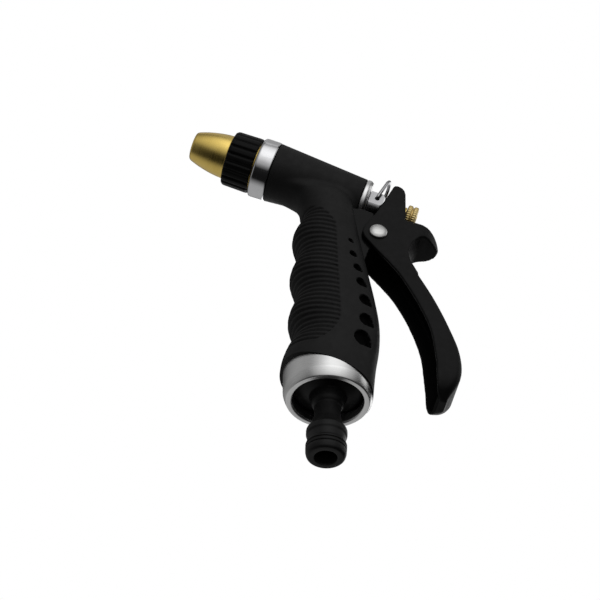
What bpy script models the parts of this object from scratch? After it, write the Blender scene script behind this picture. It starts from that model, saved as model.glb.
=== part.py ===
"""A pistol-grip hose spray nozzle with a rear trigger, as an assembly of separate pieces.

The frame is upright: +Z runs up the handle from the hose plug's end face, where the origin is,
the spray tip points towards -X and the trigger is on the +X side. The design is symmetric about
the XZ plane. Lengths in the tables are millimetres, and MM turns them into metres.
"""

import math

import bmesh
import bpy
from mathutils import Matrix, Vector

MM = 0.001
GAP = 0.3  # clearance between neighbouring pieces

# Barrel: a straight axis that rises towards the tip. Heights along it are measured from the
# chrome front ring's front face, positive towards the tip.
BARREL_SLOPE = math.radians(15.0)
BARREL_ORIGIN = (-37.8, 0.0, 163.0)
FRONT_RING = 8.1
COVER_END = 51.2
CAP_RING = 3.1
SPOUT_SEAT = 13.8
CHAMBER_END = 45.8
TIP_END = 31.6

# Handle
RING_BOTTOM = 28.5
RING_TILT = 0.30  # fall of the ring's upper edge per unit of X
RING_EDGE = 36.8  # height of that edge at X = 0
CASTING_BOTTOM = 38.2
SCALLOP_PITCH = 24.4
SCALLOP_DEPTH = 1.3
SCALLOP_BUMP = 71.0
COVER_WALL = 2.4
CASTING_WALL = 2.8
# height, front, rear, half width
HANDLE = (
    (28.0, -20.2, 18.4, 19.3),
    (45.0, -20.5, 19.5, 18.9),
    (57.5, -17.4, 20.9, 17.6),
    (70.0, -17.3, 20.9, 16.6),
    (82.5, -17.4, 19.0, 15.8),
    (95.0, -17.7, 16.6, 15.1),
    (106.0, -17.8, 14.3, 14.6),
    (118.0, -17.7, 12.0, 14.1),
    (130.0, -16.2, 9.7, 13.5),
    (138.5, -16.4, 8.6, 12.6),
    (144.0, -19.6, 8.3, 11.4),
    (147.2, -26.0, 8.0, 10.2),
    (150.5, -33.6, 7.4, 8.0),
)

# Trigger
PIVOT = (18.5, 0.0, 122.3)
TRIGGER_HALF = 9.3
TRIGGER_WALL = 1.9
RIVET_RADIUS = 2.4
LUG_HALF = 7.0
STEM_RADIUS = 2.0
WALL_REAR = 30.6  # rear face of the trigger's wall that the stem passes through
FLANK_REAR = 31.3  # rear edges of the nose beside that wall
# front point, rear point, half width of the arm's cross-sections, from the pivot end down
ARM = (
    ((24.0, 104.6), (33.6, 107.8), 9.25),
    ((28.9, 98.0), (37.8, 100.4), 9.25),
    ((34.0, 88.5), (43.2, 90.0), 9.4),
    ((38.3, 78.5), (47.6, 79.5), 9.9),
    ((41.6, 68.0), (51.2, 68.8), 10.7),
    ((42.9, 58.0), (54.0, 58.8), 11.5),
    ((43.7, 49.0), (55.1, 49.4), 11.9),
    ((43.9, 42.0), (54.4, 42.8), 11.5),
    ((44.3, 37.6), (52.3, 38.5), 10.0),
    ((45.1, 35.2), (50.4, 35.8), 7.6),
    ((46.6, 33.7), (49.6, 33.9), 4.0),
)

# Hold-open bail
BAIL_HEIGHT = 58.4  # distance of its hinge behind the front ring's face
BAIL_HALF = 6.4
BAIL_LENGTH = 14.2
BAIL_WIRE = 0.8
BAIL_LEAN = math.radians(21.0)

BLACK_RUBBER = ("black_rubber", (0.022, 0.022, 0.023), 0.62, 0.0)
BLACK_CASTING = ("black_casting", (0.012, 0.012, 0.013), 0.28, 0.0)
BLACK_TRIGGER = ("black_trigger", (0.020, 0.020, 0.021), 0.55, 0.0)
BLACK_PLASTIC = ("black_plastic", (0.015, 0.015, 0.016), 0.38, 0.0)
SEAL_RUBBER = ("seal_rubber", (0.010, 0.010, 0.010), 0.55, 0.0)
SATIN_RING = ("satin_ring", (0.74, 0.75, 0.76), 0.26, 1.0)
CHROME = ("chrome", (0.80, 0.81, 0.82), 0.10, 1.0)
RIVET_STEEL = ("rivet_steel", (0.66, 0.67, 0.68), 0.34, 1.0)
SPRING_STEEL = ("spring_steel", (0.60, 0.60, 0.61), 0.25, 1.0)
BRASS = ("brass", (0.80, 0.60, 0.24), 0.26, 1.0)


# ---------------------------------------------------------------- scene and helpers


def clear_scene():
    for obj in list(bpy.data.objects):
        bpy.data.objects.remove(obj, do_unlink=True)


def new_collection(name):
    made = bpy.data.collections.new(name)
    bpy.context.scene.collection.children.link(made)
    return made


clear_scene()
PARTS = new_collection("hose_spray_nozzle")
CUTTERS = new_collection("cutters")
CUTTERS.hide_render = True


def material(spec):
    name, colour, roughness, metallic = spec
    found = bpy.data.materials.get(name)
    if found:
        return found
    made = bpy.data.materials.new(name)
    made.use_nodes = True
    shader = made.node_tree.nodes["Principled BSDF"]
    shader.inputs["Base Color"].default_value = (*colour, 1.0)
    shader.inputs["Roughness"].default_value = roughness
    shader.inputs["Metallic"].default_value = metallic
    return made


def add_object(name, data, spec=None, place=None, parent=None):
    """Links a named object: a part with its material, or a cutter when spec is None."""
    obj = bpy.data.objects.new(name, data)
    if spec is None:
        CUTTERS.objects.link(obj)
        obj.hide_render = True
        obj.display_type = "WIRE"
    else:
        PARTS.objects.link(obj)
        data.materials.append(material(spec))
    if parent is not None:
        obj.parent = parent
    if place is not None:
        obj.matrix_basis = place
    return obj


def shade_round(obj, angle=35.0):
    obj.data.shade_smooth()
    obj.data.set_sharp_from_angle(angle=math.radians(angle))


def add_axis(name, place):
    """An empty whose local Z is an axis that pieces are turned or moved about."""
    empty = bpy.data.objects.new(name, None)
    PARTS.objects.link(empty)
    empty.matrix_world = place
    bpy.context.view_layer.update()
    return empty


def turned(name, profile, spec=None, place=None, parent=None, steps=28, ring=True):
    """A turned shape: the profile's (radius, height) points run down its outer side."""
    mesh = bpy.data.meshes.new(name)
    count = len(profile)
    edges = [(i, i + 1) for i in range(count - 1)]
    if ring:
        edges.append((count - 1, 0))
    mesh.from_pydata([(r * MM, 0.0, h * MM) for r, h in profile], edges, [])
    obj = add_object(name, mesh, spec, place, parent)
    screw = obj.modifiers.new("turn", "SCREW")
    screw.steps = steps
    screw.render_steps = steps
    screw.use_merge_vertices = True
    screw.merge_threshold = 0.00001
    screw.use_smooth_shade = True
    return obj


def rod(radius, low, high):
    """The profile of a plain cylinder."""
    return [(0.0, high), (radius, high), (radius, low), (0.0, low)]


def as_mesh(curve_object, spec):
    """Replaces a curve object by a welded mesh object of the same shape and name."""
    bpy.context.view_layer.update()
    graph = bpy.context.evaluated_depsgraph_get()
    mesh = bpy.data.meshes.new_from_object(curve_object.evaluated_get(graph))
    shape = bmesh.new()
    shape.from_mesh(mesh)
    bmesh.ops.remove_doubles(shape, verts=shape.verts, dist=0.000001)
    shape.to_mesh(mesh)
    shape.free()
    mesh.materials.clear()
    name = curve_object.name
    place = curve_object.matrix_world.copy()
    bpy.data.objects.remove(curve_object, do_unlink=True)
    return add_object(name, mesh, spec, place)


# Local XY plane to the world's XZ plane, and to its YZ plane
SIDE_PLANE = Matrix.Rotation(math.radians(90.0), 4, "X")
FRONT_PLANE = Matrix(((0, 0, 1, 0), (1, 0, 0, 0), (0, 1, 0, 0), (0, 0, 0, 1)))


def plate(name, outline, half, spec=None, plane=SIDE_PLANE, offset=(0.0, 0.0, 0.0)):
    """A flat outline in a plane, extruded by half to each side."""
    curve = bpy.data.curves.new(name, "CURVE")
    curve.dimensions = "2D"
    curve.fill_mode = "BOTH"
    curve.extrude = half * MM
    spline = curve.splines.new("POLY")
    spline.points.add(len(outline) - 1)
    for point, (x, z) in zip(spline.points, outline):
        point.co = (x * MM, z * MM, 0.0, 1.0)
    spline.use_cyclic_u = True
    place = Matrix.Translation(Vector(offset) * MM) @ plane
    return as_mesh(add_object(name, curve, spec, place), spec)


def arc(centre, radius, start, end, steps):
    """Points of an arc in a plane, from one angle in degrees to another."""
    points = []
    for i in range(steps + 1):
        angle = math.radians(start + (end - start) * i / steps)
        points.append((centre[0] + radius * math.cos(angle), centre[1] + radius * math.sin(angle)))
    return points


def loft(name, rings, spec=None, closed=False, place=None, parent=None):
    """A skin over rings of equal length, capped at both ends or closed onto its first ring."""
    shape = bmesh.new()
    rows = [[shape.verts.new(Vector(point) * MM) for point in ring] for ring in rings]
    pairs = list(zip(rows[:-1], rows[1:]))
    if closed:
        pairs.append((rows[-1], rows[0]))
    for lower, upper in pairs:
        for i in range(len(lower)):
            j = (i + 1) % len(lower)
            shape.faces.new((lower[i], lower[j], upper[j], upper[i]))
    if not closed:
        shape.faces.new(rows[0][::-1])
        shape.faces.new(rows[-1])
    bmesh.ops.recalc_face_normals(shape, faces=shape.faces)
    mesh = bpy.data.meshes.new(name)
    shape.to_mesh(mesh)
    shape.free()
    return add_object(name, mesh, spec, place, parent)


def combine(target, tool, operation, solver):
    step = target.modifiers.new(tool.name, "BOOLEAN")
    step.operation = operation
    step.object = tool
    step.solver = solver


def cut(target, *tools, solver="EXACT"):
    for tool in tools:
        combine(target, tool, "DIFFERENCE", solver)


def join(target, *tools, solver="EXACT"):
    for tool in tools:
        combine(target, tool, "UNION", solver)


def move_origin(obj, point):
    """Puts an object's origin on its joint axis without moving its shape."""
    offset = Vector(point) * MM
    obj.data.transform(Matrix.Translation(-offset))
    obj.matrix_basis = Matrix.Translation(offset) @ obj.matrix_basis


def barrel_frame():
    """Local Z along the barrel towards the tip, local Y along the world's Y."""
    forward = Vector((-math.cos(BARREL_SLOPE), 0.0, math.sin(BARREL_SLOPE)))
    side = Vector((0.0, 1.0, 0.0))
    up = side.cross(forward)
    turn = Matrix((up, side, forward)).transposed().to_4x4()
    return Matrix.Translation(Vector(BARREL_ORIGIN) * MM) @ turn


BARREL = add_axis("barrel_axis", barrel_frame())
PIVOT_AXIS = add_axis(
    "trigger_axis",
    Matrix.Translation(Vector(PIVOT) * MM) @ Matrix.Rotation(math.radians(-90.0), 4, "X"),
)


def on_barrel(name, profile, spec=None, steps=28, ring=True):
    return turned(name, profile, spec, parent=BARREL, steps=steps, ring=ring)


# ---------------------------------------------------------------- handle and barrel body


def between(rows, height):
    """The handle's front, rear and half width at a height, on a smooth curve through its rows."""
    for k in range(len(rows) - 1):
        if rows[k][0] <= height <= rows[k + 1][0]:
            break
    before = rows[max(k - 1, 0)]
    low, high = rows[k], rows[k + 1]
    after = rows[min(k + 2, len(rows) - 1)]
    span = high[0] - low[0]
    t = (height - low[0]) / span
    values = []
    for c in (1, 2, 3):
        m0 = (high[c] - before[c]) / (high[0] - before[0]) * span
        m1 = (after[c] - low[c]) / (after[0] - low[0]) * span
        values.append(
            (2 * t**3 - 3 * t**2 + 1) * low[c]
            + (t**3 - 2 * t**2 + t) * m0
            + (3 * t**2 - 2 * t**3) * high[c]
            + (t**3 - t**2) * m1
        )
    return values


def scallop(height):
    """The finger grooves' depth, fading out below the lowest and above the highest of them."""
    fade = min(1.0, max(0.0, (height - 50.0) / 6.0)) * min(1.0, max(0.0, (136.0 - height) / 5.0))
    return SCALLOP_DEPTH * fade * math.cos(2 * math.pi * (height - SCALLOP_BUMP) / SCALLOP_PITCH)


def handle_ring(height, inset=0.0, grooved=True, count=32):
    """An oval section of the handle, a little squarer than an ellipse."""
    front, rear, half = between(HANDLE, height)
    if grooved:
        front -= scallop(height)
    elif inset:
        front += SCALLOP_DEPTH
    front += inset
    rear -= inset
    half -= inset
    centre, depth = (front + rear) / 2, (rear - front) / 2
    points = []
    for i in range(count):
        angle = 2 * math.pi * i / count
        c, s = math.cos(angle), math.sin(angle)
        power = 2 / 2.3
        x = centre + depth * math.copysign(abs(c) ** power, c)
        y = half * math.copysign(abs(s) ** power, s)
        points.append((x, y, height))
    return points


def heights(low, high, step):
    count = max(1, round((high - low) / step))
    return [low + (high - low) * i / count for i in range(count + 1)]


def core_heights(grow):
    """Heights of the handle core's sections, with the two ends moved out by a clearance."""
    return [44.2 - grow] + heights(44.2, 149.5, 9.0)[1:-1] + [149.5 + grow]


def slanted_edge():
    """The two ends of the slanted line between the base ring and the rubber, in side view."""
    reach = 40.0
    return [(-reach, RING_EDGE + RING_TILT * reach), (reach, RING_EDGE - RING_TILT * reach)]


def lower_slab(name):
    front, rear = slanted_edge()
    return plate(name, [(front[0], 10.0), (rear[0], 10.0), rear, front], 40.0)


def upper_slab(name):
    front, rear = slanted_edge()
    return plate(name, [front, rear, (rear[0], 80.0), (front[0], 80.0)], 40.0)


def lug_outline(grow):
    """The casting's rear lug that carries the pivot, as a side outline."""
    boss = arc((PIVOT[0], PIVOT[2]), 5.6 + grow, 35.0, -75.0, 8)
    top = [(0.0, 138.2 + grow), (11.6, 138.2 + grow), (16.4 + grow, 136.4)]
    low = [(15.2 + grow, 113.0), (13.2 + grow, 105.5 - grow), (9.0, 103.6 - grow), (0.0, 103.6 - grow)]
    return top + [(20.0 + grow, 131.4)] + boss + low


def make_body_casting():
    """The die-cast zinc body: handle core, barrel tube and pivot lug, with the water's way."""
    base = [(0.0, 46.0), (15.4, 46.0), (15.4, CASTING_BOTTOM), (0.0, CASTING_BOTTOM)]
    casting = turned("body_casting", base, BLACK_CASTING, ring=False)
    inset = COVER_WALL + 2 * GAP
    core = loft("casting_handle", [handle_ring(h, inset, False, 24) for h in core_heights(0.0)])
    cavity = [handle_ring(h, inset + CASTING_WALL, False, 20) for h in heights(51.0, 127.0, 10.0)]
    tube = on_barrel(
        "casting_barrel",
        [(0.0, -1.6), (12.0, -1.6), (12.0, -8.4), (8.9, -COVER_END), (0.0, -COVER_END)],
        ring=False,
    )
    lug = plate("casting_lug", lug_outline(0.0), LUG_HALF)
    join(casting, core, tube, lug, solver="MANIFOLD")
    cut(
        casting,
        turned("plug_thread_bore", rod(10.35, 20.0, 49.5), ring=False),
        loft("handle_cavity", cavity),
        turned("handle_passage", rod(5.5, 40.0, 153.0), ring=False, steps=24),
        on_barrel("spout_bore", rod(9.7, -14.1, 6.0), ring=False),
        on_barrel("chamber_bore", rod(7.4, -CHAMBER_END, -12.0), ring=False),
        on_barrel("gland_bore", rod(6.2, -60.0, -40.0), ring=False),
        side_rod("casting_rivet_hole", 2.75, 20.0),
        solver="MANIFOLD",
    )
    return casting


def side_rod(name, radius, half):
    """A cutter across the pivot, along Y."""
    return turned(name, rod(radius, -half, half), parent=PIVOT_AXIS, ring=False, steps=24)


def make_grip_cover():
    """The moulded rubber cover over the handle and the barrel."""
    outer = [handle_ring(h) for h in heights(28.0, 150.4, 4.9)]
    cover = loft("rubber_grip_cover", outer, BLACK_RUBBER)
    barrel = on_barrel(
        "cover_barrel",
        [(0.0, -8.4), (13.6, -8.4), (13.9, -8.9), (10.75, -COVER_END), (0.0, -COVER_END)],
        ring=False,
    )
    join(cover, barrel, solver="MANIFOLD")
    inner = [handle_ring(h, COVER_WALL, False, 24) for h in core_heights(GAP)]
    cut(
        cover,
        loft("cover_hollow", inner),
        turned("cover_base_hollow", rod(15.7, 20.0, 46.2), ring=False),
        on_barrel(
            "cover_barrel_hollow",
            [(0.0, 2.0), (12.3, 2.0), (12.3, -8.6), (9.2, -COVER_END), (9.2, -56.0), (0.0, -56.0)],
            ring=False,
        ),
        plate("cover_lug_slot", lug_outline(GAP), LUG_HALF + GAP),
        lower_slab("cover_lower_edge"),
        solver="MANIFOLD",
    )
    shade_round(cover)
    return cover


def make_base_ring():
    """The bright ring round the foot of the handle, with its upper edge cut on a slant."""
    profile = [
        (19.5, 46.0),
        (19.0, 32.6),
        (18.5, 30.9),
        (17.9, 29.5),
        (17.4, RING_BOTTOM),
        (16.4, RING_BOTTOM),
        (15.0, 29.8),
        (14.8, 30.4),
        (14.8, 37.2),
        (15.7, 37.2),
        (15.7, 46.0),
    ]
    ring = turned("base_ring", profile, SATIN_RING, steps=40)
    slab = upper_slab("ring_upper_edge")
    slab.location.z -= GAP * MM
    cut(ring, slab)
    return ring


# ---------------------------------------------------------------- hose end


def make_hose_plug():
    """The click-fit hose tail: nose, seal groove, catch ridge, neck, flange and threaded stub."""
    outer = [
        (9.4, 48.6),
        (10.0, 48.0),
        (10.0, 36.6),
        (14.5, 36.6),
        (14.5, 33.6),
        (7.8, 31.2),
        (7.6, 27.4),
        (6.8, 26.2),
        (5.9, 25.3),
        (5.7, 22.0),
        (6.2, 18.6),
        (7.2, 15.4),
        (8.2, 13.9),
        (8.5, 13.2),
        (8.5, 11.0),
        (8.1, 10.2),
        (8.4, 9.4),
        (8.4, 6.4),
        (8.1, 5.7),
        (6.2, 5.6),
        (6.2, 3.2),
        (8.1, 3.1),
        (8.3, 2.5),
        (8.0, 0.9),
        (7.2, 0.0),
    ]
    bore = [(4.9, 0.0), (4.6, 0.4), (4.6, 20.0), (4.2, 22.0), (4.2, 48.6)]
    return turned("hose_plug", outer + bore, BLACK_PLASTIC)


def ring_profile(major, minor, height, count=6):
    """The round section of a seal ring, run downwards on its outer side."""
    points = []
    for i in range(count):
        angle = math.pi / 2 - 2 * math.pi * (i + 0.5) / count
        points.append((major + minor * math.cos(angle), height + minor * math.sin(angle)))
    return points


def washer_profile(inner, outer, low, high):
    return [(outer, high), (outer, low), (inner, low), (inner, high)]


def make_hose_seals():
    turned("plug_o_ring", ring_profile(7.45, 0.9, 4.4), SEAL_RUBBER, steps=28)
    turned("plug_seal_washer", washer_profile(10.5, 14.3, 36.9, 37.9), SEAL_RUBBER)


# ---------------------------------------------------------------- spray end


def make_front_ring():
    profile = [
        (13.3, 0.0),
        (14.1, -0.8),
        (14.2, -1.6),
        (14.2, -7.6),
        (13.8, -FRONT_RING),
        (12.3, -FRONT_RING),
        (12.3, 0.0),
    ]
    return on_barrel("front_ring", profile, CHROME, steps=40)


def make_spout():
    """The fixed threaded outlet tube; its rear end is the valve seat."""
    profile = [
        (6.9, 15.0),
        (7.4, 14.4),
        (7.4, 1.0),
        (11.8, 1.0),
        (11.8, -0.3),
        (9.4, -0.3),
        (9.4, -12.8),
        (5.4, -13.0),
        (4.8, -SPOUT_SEAT),
        (4.2, -SPOUT_SEAT),
        (4.2, -4.0),
        (5.6, -2.0),
        (5.6, 15.0),
    ]
    on_barrel("outlet_spout", profile, BRASS)
    on_barrel("spout_gasket", washer_profile(9.75, 11.6, -1.3, -0.6), SEAL_RUBBER)


def make_spray_tip():
    """The brass tip that screws along the spout, its seal and the fluted collar pressed on it."""
    outer = [
        (5.2, TIP_END),
        (6.3, TIP_END - 0.2),
        (6.9, TIP_END - 0.9),
        (8.0, 27.5),
        (8.9, 24.2),
        (9.65, 20.6),
        (10.15, 17.0),
        (10.35, 13.9),
        (10.9, 13.4),
        (10.9, 2.2),
        (10.5, 1.8),
    ]
    bore = [
        (7.8, 1.8),
        (7.8, 3.6),
        (9.6, 3.6),
        (9.6, 5.8),
        (7.8, 5.8),
        (7.8, 17.4),
        (2.4, 26.6),
        (2.4, TIP_END - 1.2),
        (3.6, TIP_END),
    ]
    on_barrel("brass_tip", outer + bore, BRASS)
    on_barrel("tip_o_ring", ring_profile(8.55, 0.75, 4.7), SEAL_RUBBER)


def make_grip_collar():
    """The black collar with broad flutes round it."""
    flutes, per_flute = 20, 4
    count = flutes * per_flute

    def fluted(radius, height, depth):
        points = []
        for i in range(count):
            wave = 0.5 - 0.5 * math.cos(2 * math.pi * i / per_flute)
            r = radius - depth * (1.0 - min(1.0, wave * 1.6))
            angle = 2 * math.pi * i / count
            points.append((r * math.cos(angle), r * math.sin(angle), height))
        return points

    rings = [
        fluted(12.0, 13.6, 0.0),
        fluted(13.1, 12.3, 0.5),
        fluted(13.3, 3.0, 0.7),
        fluted(12.7, 1.5, 0.3),
        fluted(11.2, 1.5, 0.0),
        fluted(11.2, 13.6, 0.0),
    ]
    collar = loft("grip_collar", rings, BLACK_PLASTIC, closed=True, parent=BARREL)
    shade_round(collar)
    return collar


# ---------------------------------------------------------------- valve


def make_valve():
    """The stem with its metering pin, the valve head and washer, spring, gland and packing."""
    stem = [
        (0.0, 29.0),
        (0.8, 29.0),
        (1.7, 23.0),
        (1.7, 21.0),
        (1.3, 20.0),
        (1.3, -12.8),
        (STEM_RADIUS, -13.4),
        (STEM_RADIUS, -78.0),
        (1.6, -78.5),
        (0.0, -78.5),
    ]
    bore = STEM_RADIUS + GAP
    on_barrel("valve_stem", stem, BRASS, steps=20, ring=False)
    on_barrel("valve_washer", washer_profile(bore, 5.2, -15.9, -14.1), SEAL_RUBBER, steps=28)
    head = [(5.4, -16.2), (5.4, -18.4), (3.4, -18.4), (3.4, -19.4), (bore, -19.4), (bore, -16.2)]
    on_barrel("valve_head", head, BRASS, steps=28)
    on_barrel("packing_washer", washer_profile(bore, 5.8, -45.5, -44.7), BRASS, steps=28)
    on_barrel("stem_packing", washer_profile(bore, 3.7, -48.8, -46.6), SEAL_RUBBER, steps=24)


def make_spring():
    """The return spring, coiled round the stem between the washer and the valve head."""
    low, high = -44.0, -19.2
    coil, wire, turns, per_turn = 4.5, 0.55, 6.0, 10
    curve = bpy.data.curves.new("return_spring", "CURVE")
    curve.dimensions = "3D"
    curve.bevel_depth = wire * MM
    curve.bevel_resolution = 2
    curve.use_fill_caps = True
    count = int(turns * per_turn) + 1
    spline = curve.splines.new("POLY")
    spline.points.add(count - 1)
    for i, point in enumerate(spline.points):
        share = i / (count - 1)
        angle = 2 * math.pi * turns * share
        height = low + wire + (high - low - 2 * wire) * share
        point.co = (coil * math.cos(angle) * MM, coil * math.sin(angle) * MM, height * MM, 1.0)
    add_object("return_spring", curve, SPRING_STEEL, parent=BARREL)


def make_cap_ring():
    high, low = -COVER_END - GAP, -COVER_END - GAP - CAP_RING
    profile = [(10.4, high), (10.8, high - 0.4), (10.8, low + 1.2), (9.8, low), (6.2, low), (6.2, high)]
    return on_barrel("cap_ring", profile, CHROME, steps=40)


def make_gland_nut():
    """The packing gland, with two flats whose holes hold the bail's ends."""
    bore = STEM_RADIUS + GAP
    profile = [
        (5.9, -46.1),
        (5.9, -54.9),
        (6.5, -54.9),
        (6.5, -60.8),
        (5.6, -61.6),
        (bore, -61.6),
        (bore, -49.1),
        (4.0, -49.1),
        (4.0, -46.1),
    ]
    gland = on_barrel("gland_nut", profile, CHROME)
    head_length = 4.6
    hinge = Matrix.Translation(Vector(bail_hinge()) * MM)
    for side, name in ((-1, "near"), (1, "far")):
        inner, outer = side * 5.3, side * 9.0
        flat = [(-12.0, inner), (12.0, inner), (12.0, outer), (-12.0, outer)]
        tool = plate("gland_flat_" + name, flat, head_length, plane=Matrix.Identity(4))
        tool.parent = BARREL
        tool.location.z = -(54.9 + head_length) * MM
        turn = Matrix.Rotation(math.radians(-90.0 * side), 4, "X")
        hole = turned("gland_hole_" + name, rod(1.15, 3.6, 9.0), place=hinge @ turn, ring=False, steps=12)
        cut(gland, tool, hole)
    return gland


def bail_hinge():
    """The bail's hinge point, on the barrel axis in the gland."""
    back = BAIL_HEIGHT
    x = BARREL_ORIGIN[0] + back * math.cos(BARREL_SLOPE)
    z = BARREL_ORIGIN[2] - back * math.sin(BARREL_SLOPE)
    return (x, 0.0, z)


def make_hold_bail():
    """The wire bail: two inward ends in the gland, two legs and a round-cornered crossbar."""
    bend, corner = 1.3, 4.2
    path = [(-4.3, 0.0)]
    path += [(-y, q) for y, q in arc((BAIL_HALF - bend, bend), bend, -90.0, 0.0, 4)]
    path += [(-y, q) for y, q in arc((BAIL_HALF - corner, BAIL_LENGTH - corner), corner, 0.0, 90.0, 6)]
    path += [(-y, q) for y, q in reversed(path)]
    curve = bpy.data.curves.new("hold_bail", "CURVE")
    curve.dimensions = "3D"
    curve.bevel_depth = BAIL_WIRE * MM
    curve.bevel_resolution = 2
    curve.use_fill_caps = True
    spline = curve.splines.new("POLY")
    spline.points.add(len(path) - 1)
    lean = (math.sin(BAIL_LEAN), math.cos(BAIL_LEAN))
    for point, (y, q) in zip(spline.points, path):
        point.co = (q * lean[0] * MM, y * MM, q * lean[1] * MM, 1.0)
    add_object("hold_bail", curve, CHROME, Matrix.Translation(Vector(bail_hinge()) * MM))


# ---------------------------------------------------------------- trigger


def arm_ring(front, rear, half, corner, reach=0.0):
    """A cross-section of the trigger's arm: square at its open front, rounded at its back."""
    fx, fz = front
    rx, rz = rear
    depth = math.hypot(rx - fx, rz - fz)
    ux, uz = (rx - fx) / depth, (rz - fz) / depth
    corner = min(corner, half * 0.8, depth * 0.6)
    section = [(-reach, -half)]
    section += [(depth - corner + a, -half + corner + b) for a, b in arc((0.0, 0.0), corner, -90.0, 0.0, 4)]
    section += [(depth - corner + a, half - corner + b) for a, b in arc((0.0, 0.0), corner, 0.0, 90.0, 4)]
    section += [(-reach, half)]
    return [(fx + ux * u, v, fz + uz * u) for u, v in section]


def head_outline():
    """The trigger's head in side view: ear round the pivot, nose, notch and the spur behind."""
    ear = arc((PIVOT[0], PIVOT[2]), 7.0, 216.0, 152.0, 6)
    front = [(29.4, 98.6), (24.0, 104.7), (18.0, 111.7)] + ear + [(17.7, 135.1), (20.8, 142.2), (25.3, 152.7)]
    nose = [(26.0, 153.8), (27.4, 154.3), (29.4, 153.4), (30.8, 151.6)]
    nose += [(FLANK_REAR, 149.4), (FLANK_REAR, 134.4), (WALL_REAR, 133.0)]
    spur = [
        (32.0, 132.3),
        (38.5, 131.4),
        (42.5, 130.6),
        (45.8, 128.8),
        (47.7, 126.4),
        (48.1, 124.2),
        (47.0, 122.4),
        (44.6, 122.8),
        (41.4, 124.0),
        (38.4, 123.6),
        (35.4, 120.6),
        (33.3, 116.6),
        (32.6, 112.0),
        (33.4, 107.8),
    ]
    return front + nose + spur + [(37.0, 100.6)]


def head_hollow_outline():
    """The space inside the head, open to the front."""
    front = [(-2.0, 96.0), (-2.0, 151.6)]
    nose = [(27.6, 152.0), (28.5, 149.4), (28.5, 130.4)]
    spur = [
        (34.0, 129.8),
        (38.8, 129.2),
        (42.0, 128.2),
        (42.6, 126.9),
        (41.6, 125.8),
        (38.0, 125.5),
        (33.8, 122.6),
        (31.3, 117.4),
        (30.5, 112.4),
        (31.3, 107.4),
    ]
    return front + nose + spur + [(34.8, 100.4), (28.0, 96.0)]


def spur_corners():
    """What rounding the spur's tip in plan view takes off, as an outline."""
    root, reach, far = 37.5, 48.2, 60.0
    curve = []
    for i in range(13):
        angle = math.radians(-90.0 + 15.0 * i)
        y = TRIGGER_HALF * math.copysign(abs(math.sin(angle)) ** 1.7, angle)
        curve.append((root + (reach - root) * math.cos(angle), y))
    side = TRIGGER_HALF + 6.0
    return curve + [(root, side), (far, side), (far, -side), (root, -side)]


def slot_outline(half):
    """An upright slot in the head's rear wall, as wide as the stem's or the washer's path."""
    low, high = (0.0, 144.8), (0.0, 147.6)
    return arc(low, half, 180.0, 360.0, 8) + arc(high, half, 0.0, 180.0, 8)


def make_trigger():
    """The trigger: a channel-shaped arm and head, open towards the handle."""
    rings = [arm_ring(front, rear, half, 3.2) for front, rear, half in ARM]
    trigger = loft("trigger", rings, BLACK_TRIGGER)
    head = plate("trigger_head", head_outline(), TRIGGER_HALF)
    join(trigger, head, solver="MANIFOLD")
    hollow = []
    for front, rear, half in ARM[:-1]:
        depth = math.hypot(rear[0] - front[0], rear[1] - front[1])
        share = 1.0 - 2.0 / depth
        inner = (front[0] + (rear[0] - front[0]) * share, front[1] + (rear[1] - front[1]) * share)
        hollow.append(arm_ring(front, inner, half - TRIGGER_WALL, 1.6, 4.0))
    cut(
        trigger,
        loft("arm_hollow", hollow),
        plate("head_hollow", head_hollow_outline(), TRIGGER_HALF - TRIGGER_WALL),
        plate("stem_slot", slot_outline(2.6), 3.0, plane=FRONT_PLANE, offset=(29.5, 0.0, 0.0)),
        plate("washer_seat", slot_outline(5.0), 3.0, plane=FRONT_PLANE, offset=(WALL_REAR + 3.0, 0.0, 0.0)),
        side_rod("trigger_rivet_hole", 2.75, 20.0),
        plate("spur_corners", spur_corners(), 10.0, plane=Matrix.Identity(4), offset=(0.0, 0.0, 126.0)),
        solver="MANIFOLD",
    )
    move_origin(trigger, PIVOT)
    return trigger


def make_rivet():
    """The pivot rivet: a domed head on the near side and a smaller formed one on the far side."""
    low, high = -(TRIGGER_HALF + GAP), TRIGGER_HALF + GAP
    profile = [
        (0.0, high + 1.3),
        (1.6, high + 1.15),
        (2.9, high + 0.75),
        (3.7, high),
        (RIVET_RADIUS, high),
        (RIVET_RADIUS, low),
        (4.2, low),
        (4.0, low - 0.6),
        (3.0, low - 1.25),
        (1.6, low - 1.6),
        (0.0, low - 1.7),
    ]
    return turned("pivot_rivet", profile, RIVET_STEEL, parent=PIVOT_AXIS, steps=28, ring=False)


def make_adjusting_nut():
    """The knurled brass nut on the stem's threaded end, and the washer in front of it."""
    bore = STEM_RADIUS + GAP
    on_barrel("nut_washer", washer_profile(bore, 4.2, -72.95, -72.15), BRASS, steps=28)
    flutes, per_flute = 18, 3
    count = flutes * per_flute

    def knurled(radius, height, depth):
        points = []
        for i in range(count):
            r = radius - (depth if i % per_flute == 0 else 0.0)
            angle = 2 * math.pi * i / count
            points.append((r * math.cos(angle), r * math.sin(angle), height))
        return points

    rings = [
        knurled(5.3, -73.25, 0.0),
        knurled(5.8, -73.6, 0.4),
        knurled(5.8, -75.2, 0.4),
        knurled(5.0, -75.6, 0.0),
        knurled(5.0, -76.0, 0.0),
        knurled(5.8, -76.4, 0.4),
        knurled(5.8, -77.9, 0.4),
        knurled(5.3, -78.25, 0.0),
        knurled(bore, -78.25, 0.0),
        knurled(bore, -73.25, 0.0),
    ]
    nut = loft("adjusting_nut", rings, BRASS, closed=True, parent=BARREL)
    shade_round(nut)


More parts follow.
